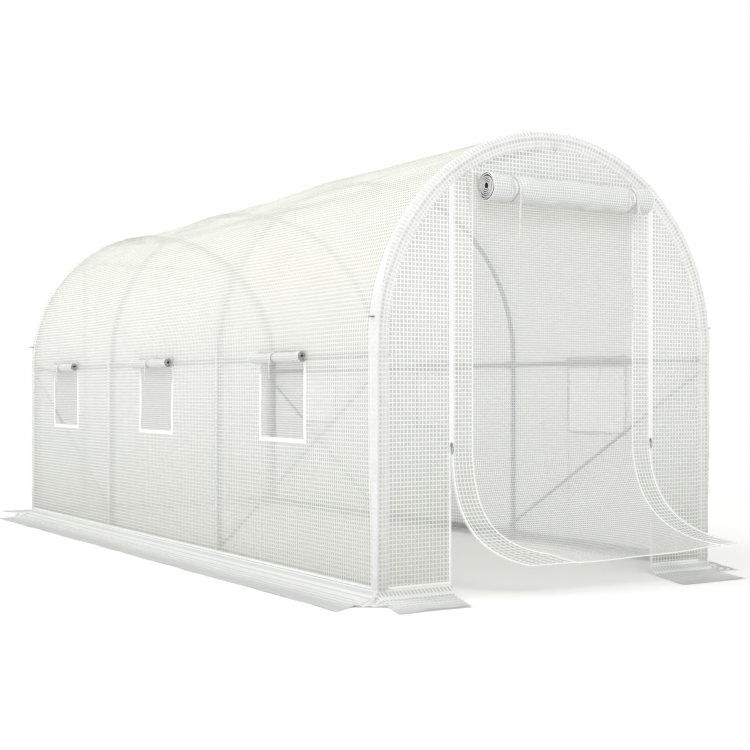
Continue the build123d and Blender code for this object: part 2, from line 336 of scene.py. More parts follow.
def thinSheet(add, cover, glow, body, lit):
    # Part of the light passes the open or clear parts, and part of the rest glows through
    solid = add("MixShader", {0: glow, 1: body, 2: lit})
    seen = add("MixShader", {0: cover, 1: add("BsdfTransparent"), 2: solid})
    add("OutputMaterial", {"Surface": seen})


# Reinforced polyethylene: a clear film laminated over a square grid of white tape yarns.
# It gives a milky sheet with brighter lines, a soft gloss, and light that glows through.
filmLook = {
    "yarn": "FFFFFE",
    "clear": "D9DBD8",
    "cloudy": "EEEFEC",
    # outer: a skirt's colour past its grid, painted shade of the free edge
    "outer": "FFFFFF",
    "dust": "E6E7E2",
    "roofTint": "FBFBF5",        # faint cream cast of the roof
    # The next two darken the top of the roof and its creases there: painted shade
    "crown": "EEEFEB",
    "creaseShade": "F0F1EE",
    "pitch": 0.0184,             # square grid, counted off the photograph
    "yarnShare": 0.30,
    "clearCover": 0.62,          # how much each part hides of what is behind it
    "yarnCover": 0.95,
    "gridWidth": 0.0,            # on a skirt the grid ends this far from the seam
    "tinted": False,
    "glow": 0.32,
    "roughness": 0.36,
    "weave": 0.0023,             # tape yarn width between the grid lines
}


def filmMaterial(name, **changes):
    material, add, where = newMaterial(name)
    look = dict(filmLook, **changes)
    spot = where.outputs["Object"]
    grid = threadMask(add, where, look["pitch"], look["yarnShare"])
    weave = threadMask(add, where, look["weave"], 0.35, 0.5)
    patches = add("TexNoise", {"Vector": spot, "Scale": 5.0, "Detail": 4.0, "Roughness": 0.6})
    clearColour = mixColour(add, patches, linear(look["clear"]), linear(look["cloudy"]))
    # On a skirt the film past the grid takes the outer colour: painted shade of the free edge
    if look["gridWidth"]:
        parts = add("SeparateXYZ", {0: where.outputs["UV"]})
        uneven = add("TexNoise", {"Vector": spot, "Scale": 3.0, "Detail": 2.0})
        edge = add("Math", {0: uneven, 1: 0.03, 2: parts.outputs[1]}, operation="MULTIPLY_ADD")
        near = add("MapRange", {"Value": edge, "From Min": look["gridWidth"],
                   "From Max": look["gridWidth"] + 0.05, "To Min": 1.0, "To Max": 0.0})
        grid = add("Math", {0: grid, 1: near}, operation="MULTIPLY")
        clearColour = mixColour(add, near, linear(look["outer"]), clearColour)
    colour = mixColour(add, grid, clearColour, linear(look["yarn"]))
    height = add("SeparateXYZ", {0: spot}).outputs[2]
    # Creases left from the pack
    crumple = add("TexNoise", {"Vector": spot, "Scale": 9.0, "Detail": 5.0, "Roughness": 0.55,
                  "Distortion": 0.6})
    creased = add("Bump", {"Height": crumple, "Strength": 0.35, "Distance": 0.012})
    # The foot of a cover is drawn darker, fading out by about 1.2 m
    tints = {"dust": (1.25, 0.0)}
    if look["tinted"]:
        # The crown colour darkens the top of the roof as painted shade; the roof tint is the film's cream
        # cast
        tints.update(crown=(1.88, 1.94), roofTint=(spring - 0.3, spring + 0.5))
        # Pulled lengthways, the film over the crown gathers in long creases, and these are drawn darker along
        # their lines as painted shade
        long = add("Mapping", {"Vector": spot, "Scale": (6.5, 0.6, 6.5)})
        waves = add("TexNoise", {"Vector": long, "Scale": 1.0, "Detail": 2.0, "Distortion": 0.25})
        away = add("Math", {0: add("Math", {0: waves, 1: 0.5}, operation="SUBTRACT")},
                   operation="ABSOLUTE")
        ridge = add("MapRange", {"Value": away, "From Max": 0.05, "To Min": 1.0, "To Max": 0.0})
        crown = add("MapRange", {"Value": height, "From Min": 1.60, "From Max": 1.86})
        crease = add("Math", {0: ridge, 1: crown}, operation="MULTIPLY")
        colour = mixColour(add, 1.0, colour, mixColour(add, crease, white, linear(look["creaseShade"])), "MULTIPLY")
        creased = add("Bump", {"Height": crease, "Strength": 0.4, "Distance": 0.006, "Normal": creased})
    for tint, (none, full) in tints.items():
        level = add("MapRange", {"Value": height, "From Min": none, "From Max": full})
        colour = mixColour(add, 1.0, colour, mixColour(add, level, white, linear(look[tint])), "MULTIPLY")
    cover = add("MapRange", {"Value": grid, "To Min": look["clearCover"], "To Max": look["yarnCover"]})
    woven = add("Math", {0: weave, 1: 0.04, 2: cover}, operation="MULTIPLY_ADD")
    relief = add("Math", {0: weave, 1: 0.2, 2: grid}, operation="MULTIPLY_ADD")
    raised = add("Bump", {"Height": relief, "Strength": 0.4, "Distance": 0.0004, "Normal": creased})
    rough = add("MapRange", {"Value": patches, "To Min": look["roughness"] - 0.08,
                "To Max": look["roughness"] + 0.12})
    body = add("BsdfPrincipled", {"Base Color": colour, "Roughness": rough, "IOR": 1.51,
               "Normal": raised})
    lit = add("BsdfTranslucent", {"Color": colour, "Normal": creased})
    thinSheet(add, woven, look["glow"], body, lit)
    return material


# Knitted polyethylene insect mesh, its real holes near 1.5 mm. They are too fine to show,
# so a haze stands for them and the heavier yarns are drawn every 10.8 mm, as they look there.
netLook = {"yarn": "F6F6F4", "haze": "C1C2C0", "pitch": 0.0108, "yarnShare": 0.28,
           "hazeCover": 0.36, "yarnCover": 0.66, "roughness": 0.62}


def netMaterial():
    material, add, where = newMaterial("knitted polyethylene insect mesh")
    look = netLook
    grid = threadMask(add, where, look["pitch"], look["yarnShare"], 0.08)
    fine = threadMask(add, where, look["pitch"] / 6, 0.4, 0.3)
    colour = mixColour(add, grid, linear(look["haze"]), linear(look["yarn"]))
    cover = add("MapRange", {"Value": grid, "To Min": look["hazeCover"], "To Max": look["yarnCover"]})
    knitted = add("Math", {0: fine, 1: 0.10, 2: cover}, operation="MULTIPLY_ADD")
    relief = add("Bump", {"Height": grid, "Strength": 0.5, "Distance": 0.0004})
    body = add("BsdfPrincipled", {"Base Color": colour, "Roughness": look["roughness"], "IOR": 1.49,
               "Normal": relief})
    thinSheet(add, knitted, 0.3, body, add("BsdfTranslucent", {"Color": colour}))
    return material


def clothMaterial(name, light, dark, pitch, roughness, sheen=0.0, relief=0.5):
    # Woven tape: ribs across the run, with a slight change of tone
    material, add, where = newMaterial(name)
    ribs = threadMask(add, where, pitch, 0.5, 0.5)
    patches = add("TexNoise", {"Vector": where.outputs["Object"], "Scale": 60.0, "Detail": 3.0})
    tone = add("Math", {0: patches, 1: 0.6}, operation="MULTIPLY")
    shade = add("Math", {0: ribs, 1: 0.4, 2: tone}, operation="MULTIPLY_ADD")
    bump = add("Bump", {"Height": ribs, "Strength": relief, "Distance": 0.0003})
    body = add("BsdfPrincipled", {"Base Color": mixColour(add, shade, linear(dark), linear(light)),
               "Roughness": roughness, "Sheen Weight": sheen, "Normal": bump})
    add("OutputMaterial", {"Surface": body})
    return material


def hardMaterial(name, light, dark, metallic, rough, grain, bump, coat=0.0):
    material, add, where = newMaterial(name)
    patches = add("TexNoise", {"Vector": where.outputs["Object"], "Scale": grain, "Detail": 6.0,
                  "Roughness": 0.6})
    roughness = add("MapRange", {"Value": patches, "To Min": rough[0], "To Max": rough[1]})
    relief = add("Bump", {"Height": patches, "Strength": bump, "Distance": 0.0005})
    body = add("BsdfPrincipled", {"Base Color": mixColour(add, patches, linear(dark), linear(light)),
               "Roughness": roughness, "Metallic": metallic, "Coat Weight": coat, "Normal": relief})
    add("OutputMaterial", {"Surface": body})
    return material


coverFilm = filmMaterial("reinforced polyethylene film, roof and walls", tinted=True)
# The ends: the same film with a sparser grid, its clear parts drawn darker than the cover's as painted shade
# of the end walls
endFilmShaded = filmMaterial("reinforced polyethylene film, ends, painted shade", clear="CED0CE", cloudy="E3E4E2", clearCover=0.64,
                       yarnShare=0.25)
# Two layers where the cover turns over the end hoops: whiter and less clear
doubled = {"yarnCover": 1.0, "yarnShare": 0.32}
turnedFilm = filmMaterial("reinforced polyethylene film, doubled", clear="E6E7E5", cloudy="FBFBFA",
                          clearCover=0.84, dust="F0F0EE", **doubled)
# The corner strip's film, near white all over: painted highlight
cornerHighlightFilm = filmMaterial("reinforced polyethylene film, painted corner highlight", clear="FBFBFA", cloudy="FFFFFF",
                         clearCover=0.96, dust="FFFFFF", **doubled)
# Many layers, with the yarns of several turns showing through each other as a finer grid
rolledFilm = filmMaterial("reinforced polyethylene film, rolled", yarn="ECEDEB", clear="BBBDBC",
                          cloudy="D2D4D2", clearCover=0.97, yarnCover=1.0, pitch=0.0125, glow=0.06,
                          roughness=0.24)
# Inside the rolls the film is dark grey: painted shade of the deep gaps between the windings
woundFilmPaintedShade = filmMaterial("dark grey film inside the rolls, painted shade", yarn="5C5E5D", clear="444645",
                         cloudy="565857", clearCover=0.99, yarnCover=1.0, glow=0.0)
# Skirt film: the grid runs a hand's width out from the seam, and beyond it the film is plain, drawn greyer as
# painted shade of the free edge
skirtLook = {"clear": "CFD2D1", "cloudy": "E2E4E3", "clearCover": 0.93, "yarnShare": 0.42, "dust": "FAFAF9"}
skirtFilm = filmMaterial("polyethylene skirt film", gridWidth=0.086, outer="DBDDDC", **skirtLook)
gatheredFilm = filmMaterial("polyethylene skirt film, gathered", **skirtLook)
insectNet = netMaterial()
# Folded film hem, four layers thick: nearly opaque and the whitest thing on the cover
hemTape = clothMaterial("folded white film hem", "FFFFFF", "F1F3F2", 0.0046, 0.42, relief=0.35)
zipCloth = clothMaterial("woven polyester zip tape", "FDFDFC", "EDEEED", 0.0012, 0.7, sheen=0.2)
ribbonCloth = clothMaterial("woven polyester ribbon", "E6E4DD", "CFCDC5", 0.0016, 0.55, sheen=0.3)
tabCloth = clothMaterial("dark woven webbing", "4A4D4C", "2B2E2D", 0.0022, 0.8, sheen=0.2)
threadFibre = clothMaterial("white polyester sewing thread", "F4F5F4", "D9DBDA", 0.0008, 0.6)
# Hot-dip galvanised steel tube: dull silver with a fine spangle, drawn along the bar
galvanised = hardMaterial("galvanised steel tube", "C3C7C9", "9BA0A3", 1.0, (0.30, 0.48), 55.0, 0.15)
zincSteel = hardMaterial("zinc-plated steel fastener", "D2D3D0", "B1B3B1", 1.0, (0.25, 0.4), 240.0, 0.1)
zincDark = hardMaterial("dark zinc slider, die cast", "A4A6A6", "858888", 0.4, (0.3, 0.42), 300.0, 0.1)
saddleNylon = hardMaterial("moulded grey nylon", "C9CBC8", "B9BCB9", 0.0, (0.42, 0.55), 180.0, 0.2, coat=0.05)
coilNylon = hardMaterial("white nylon zip coil", "F3F4F2", "E3E5E3", 0.0, (0.35, 0.5), 200.0, 0.1)
print("materials made")


# Geometry Nodes that repeat small things along guide lines

def newTree(name, inputs):
    tree = bpy.data.node_groups.new(name, "GeometryNodeTree")
    tree.interface.new_socket("Guide", in_out="INPUT", socket_type="NodeSocketGeometry")
    for label, kind in inputs.items():
        tree.interface.new_socket(label, in_out="INPUT", socket_type=kind)
    tree.interface.new_socket("Result", in_out="OUTPUT", socket_type="NodeSocketGeometry")
    add = partial(addNode, tree)
    return tree, add, add("NodeGroupInput").outputs


def finishTree(add, given, points, instance, facing, **more):
    many = add("InstanceOnPoints", {"Points": points, "Instance": instance, "Rotation": facing, **more})
    real = add("RealizeInstances", {"Geometry": many})
    dressed = add("SetMaterial", {"Geometry": real, "Material": given["Material"]})
    add("NodeGroupOutput", {"Result": dressed})


def rowTree():
    # Small rounded lumps in a row: stitches and zip coil
    tree, add, given = newTree("row along a guide", {"Spacing": "NodeSocketFloat",
                                                     "Size": "NodeSocketVector",
                                                     "Material": "NodeSocketMaterial"})
    line = add("MeshToCurve", {"Mesh": given["Guide"]})
    even = add("ResampleCurve", {"Curve": line, "Length": given["Spacing"]}, mode="LENGTH")
    outward = add("InputNamedAttribute", {"Name": "outward"}, data_type="FLOAT_VECTOR")
    facing = add("FunctionNodeAxesToRotation", {"Primary Axis": add("InputTangent"),
                 "Secondary Axis": outward}, primary_axis="X", secondary_axis="Z")
    lump = add("MeshIcoSphere", {"Radius": 0.5, "Subdivisions": 1})
    soft = add("SetShadeSmooth", {"Geometry": lump})
    finishTree(add, given, even, soft, facing, Scale=given["Size"])
    return tree


def fastenerTree():
    # A washer, a hexagon head and a wing nut's two ears, on every guide point
    tree, add, given = newTree("fastener on each point", {"Head": "NodeSocketFloat",
                                                          "Material": "NodeSocketMaterial"})
    washer = add("MeshCylinder", {"Vertices": 20, "Radius": 0.0085, "Depth": 0.0016})
    head = add("MeshCylinder", {"Vertices": 6, "Radius": given["Head"], "Depth": 0.009})
    headUp = add("Transform", {"Geometry": head, "Translation": (0, 0, 0.0045)})
    ear = add("MeshUVSphere", {"Segments": 12, "Rings": 8, "Radius": 0.0075})
    ears = [add("Transform", {"Geometry": ear, "Translation": (way * 0.0095, 0, 0.0105),
                "Rotation": (0, way * -0.6, 0), "Scale": (0.55, 0.2, 1.0)}) for way in (-1, 1)]
    whole = add("JoinGeometry", {0: [washer, headUp, *ears]})
    outward, across = (add("InputNamedAttribute", {"Name": name}, data_type="FLOAT_VECTOR")
                       for name in ("outward", "across"))
    facing = add("FunctionNodeAxesToRotation", {"Primary Axis": outward, "Secondary Axis": across},
                 primary_axis="Z", secondary_axis="X")
    finishTree(add, given, given["Guide"], whole, facing)
    return tree


def runTree(name, tree, points, edges, vectors, inputs):
    # Makes the guide, runs the tree on it, and keeps the result as a plain mesh
    mesh = bpy.data.meshes.new(name)
    mesh.from_pydata([tuple(p) for p in points], edges, [])
    for label, values in vectors.items():
        attribute = mesh.attributes.new(label, "FLOAT_VECTOR", "POINT")
        attribute.data.foreach_set("vector", np.asarray(values, np.float32).ravel())
    piece = addObject(name, mesh)
    modifier = piece.modifiers.new("repeat", "NODES")
    modifier.node_group = tree
    for item in tree.interface.items_tree:
        if item.in_out == "INPUT" and item.name in inputs:
            modifier[item.identifier] = inputs[item.name]
    made = bpy.data.meshes.new_from_object(piece.evaluated_get(bpy.context.evaluated_depsgraph_get()))
    piece.modifiers.clear()
    piece.data = made
    return piece


rows, fasteners = rowTree(), fastenerTree()


def rowPiece(name, lines, spacing, size, material):
    points, edges, normals = [], [], []
    for line, outward in lines:
        edges += [(len(points) + i, len(points) + i + 1) for i in range(len(line) - 1)]
        points += line.tolist()
        normals += np.broadcast_to(outward, line.shape).tolist()
    return runTree(name, rows, points, edges, {"outward": normals},
                   {"Spacing": spacing, "Size": size, "Material": material})


stitchLines = []         # runs of (points, outward) that the sewing thread follows


# Camera at the photograph's place: 35 mm film back in width, level, upright lines kept upright
camera = {"place": (-3.857, -6.937, 0.854), "look": (0.528, 0.849, 0.0), "lens": 64.3, "rise": 0.0227}
eye = bpy.data.cameras.new("view")
eye.lens, eye.sensor_width, eye.shift_y, eye.clip_end = camera["lens"], 36, camera["rise"], 200
scene.camera = addObject("view", eye)
scene.camera.location = camera["place"]
scene.camera.rotation_euler = Vector(camera["look"]).to_track_quat("-Z", "Y").to_euler()


# Steel frame

tubes = {"radius": 0.0125, "sides": 20, "foot": 0.006, "railInset": 0.9085, "sideRail": 1.010,
         "baseRail": 0.038, "railPast": 0.010, "groove": 0.0006, "jointAngles": (0.0, 60.0, 120.0, 180.0)}
railReach = hoopEnd + tubes["railPast"]


def tubeRun(line, normals, side, joints=()):
    # Joints are swaged: a tube slips into the next, which shows as a thin step all round
    radii = np.full(len(line), tubes["radius"])
    for joint in joints:
        radii[np.abs(runOf(line) - joint) < 0.0009] -= tubes["groove"]
    section = roundSection(1.0, tubes["sides"])[None] * radii[:, None, None]
    return sweepPart(line, side, normals, section)


def withJoints(places, joints):
    extra = [j + d for j in joints for d in (-0.0014, -0.0007, 0.0007, 0.0014)]
    return np.array(sorted(set(np.round(np.concatenate([places, extra]), 5))))


hoopR = tunnel["hoopRadius"]
legRun = spring - tubes["foot"]
hoopRun = 2 * legRun + pi * hoopR
hoopJoints = [legRun + radians(a) * hoopR for a in tubes["jointAngles"]]
for number, y in enumerate(hoopPlaces, 1):
    s = withJoints(runLine([0, legRun, legRun + pi * hoopR, hoopRun], 0.03), hoopJoints)
    turn = np.clip((s - legRun) / hoopR, 0, pi)
    up = np.where(s < legRun, tubes["foot"] + s,
                  np.where(s > hoopRun - legRun, tubes["foot"] + hoopRun - s, spring))
    line = xyz(-hoopR * np.cos(turn), y, up + hoopR * np.sin(turn))
    normals = xyz(-np.cos(turn), 0, np.sin(turn))
    makePiece(f"hoop{number}", [tubeRun(line, normals, (0, 1, 0), hoopJoints)], [galvanised], "tube_steel",
              f"hoop_{number}_arch", f"hoop_{number}_legs")

rails = {"ridgeRail": ("ridge_rail", 0, spring + tubes["railInset"])}
for name, z in (("side", tubes["sideRail"]), ("base", tubes["baseRail"])):
    for side, x in (("Left", -tubes["railInset"]), ("Right", tubes["railInset"])):
        rails[f"{name}Rail{side}"] = (f"{name}_rail_{side.lower()}", x, z)
for name, (node, x, z) in rails.items():
    joints = [railReach + y + 0.05 for y in hoopPlaces[1:-1]]
    s = withJoints(np.linspace(0, 2 * railReach, 40), joints)
    makePiece(name, [tubeRun(xyz(x, s - railReach, z), (0, 0, 1), (1, 0, 0), joints)], [galvanised],
              "tube_steel", node)

brace = {"tube": 0.016, "flat": 0.003, "flatLength": 0.036, "neck": 0.034, "top": 0.955, "foot": 0.084}


def bracePart(side, toward):
    x = side * (hoopR - tubes["radius"])
    top = np.array([x, toward * hoopEnd, brace["top"]])
    low = np.array([x, toward * (hoopEnd - bay), brace["foot"]])
    length = np.linalg.norm(low - top)
    ahead = (low - top) / length
    flatWidth = pi * brace["tube"] / 2 - brace["flat"]
    tip = flatWidth / 2
    neckAt = brace["flatLength"] - tip
    ends = np.array([-tip, -tip * 0.97, -tip * 0.8, -tip * 0.5, 0, neckAt * 0.5, neckAt])
    ends = np.concatenate([ends, neckAt + brace["neck"] * np.linspace(0.1, 1, 10)])
    s = np.concatenate([ends, np.linspace(ends[-1] + 0.05, length - ends[-1] - 0.05, 12),
                        length - ends[::-1]])
    inner = np.minimum(s, length - s)
    squeeze = smoothStep(inner, neckAt, neckAt + brace["neck"])
    wide = flatWidth + (brace["tube"] - flatWidth) * squeeze
    wide = wide * np.sqrt(np.clip(1 - (np.minimum(inner, 0) / tip) ** 2, 0.0009, 1))
    thick = brace["flat"] + (brace["tube"] - brace["flat"]) * squeeze
    power = (0.35 + 0.65 * squeeze)[:, None]       # from a flat slot to a round tube
    ring = roundSection(1.0)
    across, deep = (np.sign(c) * np.abs(c) ** power * size[:, None] / 2
                    for c, size in zip(ring.T, (wide, thick)))
    inwards = np.array([-side, 0.0, 0.0])
    section = xyz(across, deep + thick[:, None] / 2)
    return sweepPart(top + ahead * s[:, None], np.cross(ahead, inwards), inwards, section), (top, low)


boltPoints = []          # (place, outward, across) of each bolt and wing nut
for side, name in ((-1, "Left"), (1, "Right")):
    parts, inwards = [], np.array([-side, 0.0, 0.0])
    for toward in (-1, 1):
        part, ends = bracePart(side, toward)
        parts.append(part)
        boltPoints += [(p + inwards * brace["flat"], inwards, (0, 0, 1)) for p in ends]
    makePiece(f"braces{name}", parts, [galvanised], "tube_steel", f"braces_{name.lower()}", sharp=50)
boltInset = tubes["railInset"] - tubes["radius"] - 0.004
for y in hoopPlaces:
    for side in (-1, 1):
        boltPoints += [((side * boltInset, y, z), (-side, 0, 0), (0, 1, 0))
                       for z in (tubes["sideRail"], tubes["baseRail"] + 0.004)]
    boltPoints.append(((0, y, spring + boltInset), (0, 0, -1), (0, 1, 0)))
where, outward, across = zip(*boltPoints)
place(runTree("boltsAndWingNuts", fasteners, where, [], {"outward": outward, "across": across},
              {"Head": 0.0055, "Material": zincSteel}), "tube_steel")

for node in ("ridge_saddles", "side_saddles_left", "side_saddles_right", "feet_left", "feet_right",
             "guy_tabs"):
    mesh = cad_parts[node].data
    mesh.materials.clear()
    mesh.materials.append(tabCloth if node == "guy_tabs" else saddleNylon)
print("steel frame made")


# Cover film: one run from the left seam over the hoops to the right seam

windows = {"width": 0.440, "shift": 0.052, "low": 0.640, "high": 1.000, "border": 0.020}
windowPlaces = [y + bay / 2 + windows["shift"] for y in hoopPlaces[:-1]]
windowStops = [y + way * windows["width"] / 2 for y in windowPlaces for way in (-1, 1)]
roundRun = corner * pi / 2
rounded = end - corner + np.linspace(0, roundRun, 6)
flatStops = sorted([-rounded[0], *hoopPlaces, *windowStops, rounded[0]])
uLine = np.concatenate([-rounded[:0:-1], runLine(flatStops, 0.03), rounded[1:]])
vStops = [0, windows["low"] - seam, windows["high"] - seam, wallRun]
vLine = runLine(vStops + [coverRun - v for v in reversed(vStops)], 0.026)
u, v = np.meshgrid(uLine, vLine, indexing="ij")
uMid, vMid = (u[:-1, :-1] + u[1:, 1:]) / 2, (v[:-1, :-1] + v[1:, 1:]) / 2
level = np.minimum(vMid, coverRun - vMid) + seam
inWindow = np.zeros(uMid.shape, bool)
for y in windowPlaces:
    inWindow |= ((np.abs(uMid - y) < windows["width"] / 2) & (level > windows["low"])
                 & (level < windows["high"]))
points, _ = coverSurface(u, v)
cover = makeSheet("coverFilm", [sheetPart(points, u, v, keep=~inWindow)], [coverFilm], "cover_film",
                  "roof_cover", "wall_cover_left", "wall_cover_right")

# The cover's edge turned over each end hoop and sewn to the end film, pulled into small puckers
turns = {"start": -0.016, "past": 0.046, "lift": 0.0038, "pucker": 0.0036, "puckerSize": 0.034, "step": 0.008,
         # The last three set the width, place and run of the near-white corner strip, a painted highlight
         "line": 0.005, "tape": 0.018, "highlightAt": -0.001, "highlightRun": wallRun + 0.62}


def turnSurface(way, a, v, lift=0.0):
    # a runs across the turned edge: over the hoop's corner and then inwards on the end film
    free = smoothStep(a, turns["start"], roundRun) * smoothStep(turns["past"] + roundRun - a, 0.0, 0.014)
    pucker = turns["pucker"] * (0.35 + np.abs(softWaves(a * 0.3, v, turns["puckerSize"], 31 + way))
                                + 0.5 * softWaves(a, v, 0.16, 33 + way)) * free
    swell = smoothStep(a, turns["start"], 0) * smoothStep(turns["past"] + roundRun - a, 0.0, 0.02)
    rise = 0.0008 + turns["lift"] * swell + np.maximum(pucker, 0) + lift
    return coverSurface(way * (end - corner + a), v, rise)[0]


def endTurn(way):
    across = joined(np.linspace(turns["start"], 0, 4), np.linspace(0, roundRun, 6),
                    np.linspace(roundRun, roundRun + turns["past"], 7))
    along = runLine([0, wallRun, coverRun - wallRun, coverRun], turns["step"])
    a, v = np.meshgrid(across, along, indexing="ij")
    return sheetPart(turnSurface(way, a, v), v, a, flip=way < 0)


def cornerHighlights(way):
    # A near-white strip of film runs up the corner from the ground as painted highlight of the crumpled
    # corner, and tapers off above the shoulder
    parts = []
    for first, last in ((0.0, turns["highlightRun"]), (coverRun - turns["highlightRun"], coverRun)):
        w, v = np.meshgrid(np.linspace(0, 1, 7), runLine([first, last], turns["step"]), indexing="ij")
        wide = turns["tape"] * smoothStep(turns["highlightRun"] - np.minimum(v, coverRun - v), -0.05, 0.55)
        a = turns["highlightAt"] + w * wide
        parts.append(sheetPart(turnSurface(way, a, v, 0.0007), v, a, flip=way < 0))
    return parts


# Vertical joins between widths of film, at the base a doubled seam, and a border round each window
seams = {"joins": (-0.730, 0.790), "narrowJoin": (-1.230, 0.606), "joinWidth": 0.026, "narrowWidth": 0.012,
         "baseWidth": 0.011}


def coverSeam(u, v, width, thick, sewn=None):
    # A band on the cover, with its stitches at the height sewn
    if sewn:
        stitchLines.append(coverSurface(u, v, sewn))
    return bandPart(*coverSurface(u, v, 0.0004), width, thick)


trimParts, joinParts = [], []
b, w = windows["border"], windows["width"] / 2 + windows["border"]
low, high = windows["low"] - seam, windows["high"] - seam
for over in (lambda v: v, lambda v: coverRun - v):
    v = over(np.linspace(0.004, wallRun, 60))
    joinParts += [coverSeam(u, v, seams["joinWidth"], 0.0008, 0.0016) for u in seams["joins"]]
    u, top = seams["narrowJoin"]
    joinParts.append(coverSeam(u, over(np.linspace(0.004, top - seam - 0.004, 40)),
                               seams["narrowWidth"], 0.0007))
    u = runLine([corner - end, end - corner], 0.03)
    trimParts.append(coverSeam(u, over(0.010), seams["baseWidth"], 0.0012))
    stitchLines.append(coverSurface(u, over(0.012), 0.0016))
    for y in windowPlaces:
        v = over(np.linspace(low - b + 0.003, high + 0.02, 24))
        trimParts += [coverSeam(y + way * (w - b / 2 - 0.003), v, b, 0.0014, 0.0020) for way in (-1, 1)]
        u = np.linspace(y - w + 0.003, y + w - 0.003, 24)
        trimParts.append(coverSeam(u, over(low - b / 2 + 0.003), b, 0.0016, 0.0021))
trimParts += [coverSeam(way * (end - corner + turns["start"]), runLine([0, coverRun], 0.02),
                        turns["line"], 0.0012)
              for way in (-1, 1)]
coverTrim = makePiece("coverSeams", trimParts, [hemTape], "cover_film", sharp=50)
makePiece("filmJoins", joinParts, [turnedFilm], "cover_film", sharp=50)
endTurns = makeSheet("turnedEnds", [endTurn(-1), endTurn(1)], [turnedFilm], "cover_film")
makeSheet("cornerHighlights", cornerHighlights(-1) + cornerHighlights(1), [cornerHighlightFilm], "cover_film")
print("cover film made")


# End films, with the doorway left open

def endFilmPart(way):
    inner = half - corner - 0.002
    beside = inner * np.sin(np.linspace(radians(90), np.arcsin(doorHalf / inner), 16))
    parts = []
    for xs, foot in ((-beside, seam), (runLine([-doorHalf, doorHalf], 0.035), doorTop), (beside[::-1], seam)):
        tops = spring + np.sqrt(np.maximum(inner ** 2 - xs ** 2, 0))
        share = np.linspace(0, 1, 60 if foot == seam else 12)
        x = np.repeat(xs[:, None], len(share), 1)
        z = foot + (tops[:, None] - foot) * share
        parts.append(sheetPart(endSurface(x, z, way, -0.0004)[0], x, z, flip=way < 0))
    return parts


for way, name, reach in ((-1, "front", doorHalf - 0.160), (1, "back", doorHalf + 0.012)):
    # at the entrance the roll covers the band over the doorway
    piece = makeSheet(name + "EndFilm", endFilmPart(way), [endFilmShaded], "cover_film",
                      *(name + "_wall_" + where for where in ("left", "right", "top")))
    bands = []
    edges = [(np.linspace(sign * (doorHalf + 0.010), sign * (half - 0.018), 8),
              seam + 0.009, 0.002, 0.011, 0.0017)
             for sign in (-1, 1)] + [(np.linspace(-reach, reach, 24), doorTop + 0.008, 0.004, 0.022, 0.0018)]
    for x, z, above, width, sewn in edges:
        bands.append(bandPart(*endSurface(x, z, way, 0.0003), width, 0.0012))
        stitchLines.append(endSurface(x, z + above, way, sewn))
    trim = makePiece(name + "EndFilmTrim", bands, [hemTape], "cover_film")
print("end films made")


# Net door: zipped to the frame above the sliders, loose and swept to the right below them

netDoor = {"slider": 0.620, "strip": 0.110, "stripMost": 0.235, "leftCorner": (-0.331, 0.250, 0.124),
           "rightCorner": (0.826, 0.330, 0.163), "sweepPower": 2.3, "forwardPower": 1.6, "bow": 0.75,
           "binding": 0.0065, "hem": 0.005, "billow": 0.018, "top": doorTop + 0.030}
yDoor = -(end + 0.0022)


def flapEdge(x, far, t):
    swept = np.clip((t - 0.125) / 0.875, 0, 1) ** netDoor["sweepPower"]
    fallen = t + netDoor["bow"] * t * (1 - t)
    return xyz(x + (far[0] - x) * swept, yDoor - far[1] * t ** netDoor["forwardPower"],
               netDoor["slider"] - (netDoor["slider"] - far[2]) * fallen)


def flapSurface(s, t, lift=0.0):
    # s goes from the left edge to the right one, t from the sliders down
    s, t = np.broadcast_arrays(np.asarray(s, float), np.asarray(t, float))
    left, right = (flapEdge(x, netDoor[far], t)
                   for x, far in ((-doorHalf, "leftCorner"), (doorHalf, "rightCorner")))
    points = left + (right - left) * s[..., None]
    belly = np.sin(pi * s) * t ** 1.5
    ripple = 0.010 * t ** 1.4 * np.sin(2 * pi * (2.6 * s + 0.5 * t)) * np.sin(pi * np.clip(s, 0, 1)) ** 0.5
    points[..., 1] -= netDoor["billow"] * belly + ripple + lift
    points[..., 2] -= 0.012 * belly
    return points


def doorRow(left, right):
    # Places across the door: a film strip at each edge, and the net between them
    return joined(np.linspace(0, left, 6), np.linspace(left, 1 - right, 49), np.linspace(1 - right, 1, 6))


tFlap = np.linspace(0, 1, 41)
edge = flapEdge(-doorHalf, netDoor["leftCorner"], tFlap)
slope = np.gradient(edge[:, 0], tFlap) / np.maximum(-np.gradient(edge[:, 2], tFlap), 1e-3)
leftStrip = np.minimum(netDoor["strip"] * np.sqrt(1 + slope ** 2), netDoor["stripMost"]) / (2 * doorHalf)
rightStrip = netDoor["strip"] / (2 * doorHalf)
acrossRow = (2 * doorRow(leftStrip[0], rightStrip) - 1) * doorHalf
x, z = np.meshgrid(acrossRow, np.linspace(netDoor["top"], netDoor["slider"], 50)[:-1])
edge = smoothStep(np.minimum(doorHalf - np.abs(x), 0.2), 0, 0.15)
upper = xyz(x, yDoor - 0.0016 * edge * softWaves(x, z * 0.6, 0.30, 41), z)
lower = [flapSurface(doorRow(strip, rightStrip), t) for strip, t in zip(leftStrip, tFlap)]
points = np.concatenate([upper, lower])
doorFall = runOf(points[:, 0])
cols = np.arange(len(acrossRow) - 1)
slot = np.where((cols < 5) | (cols >= len(cols) - 5), 1, 0)
netDoorPiece = makeSheet("netDoor", [sheetPart(points, acrossRow, -doorFall[:, None], slot=slot)],
                         [insectNet, endFilmShaded], "insect_net", "front_net_door")


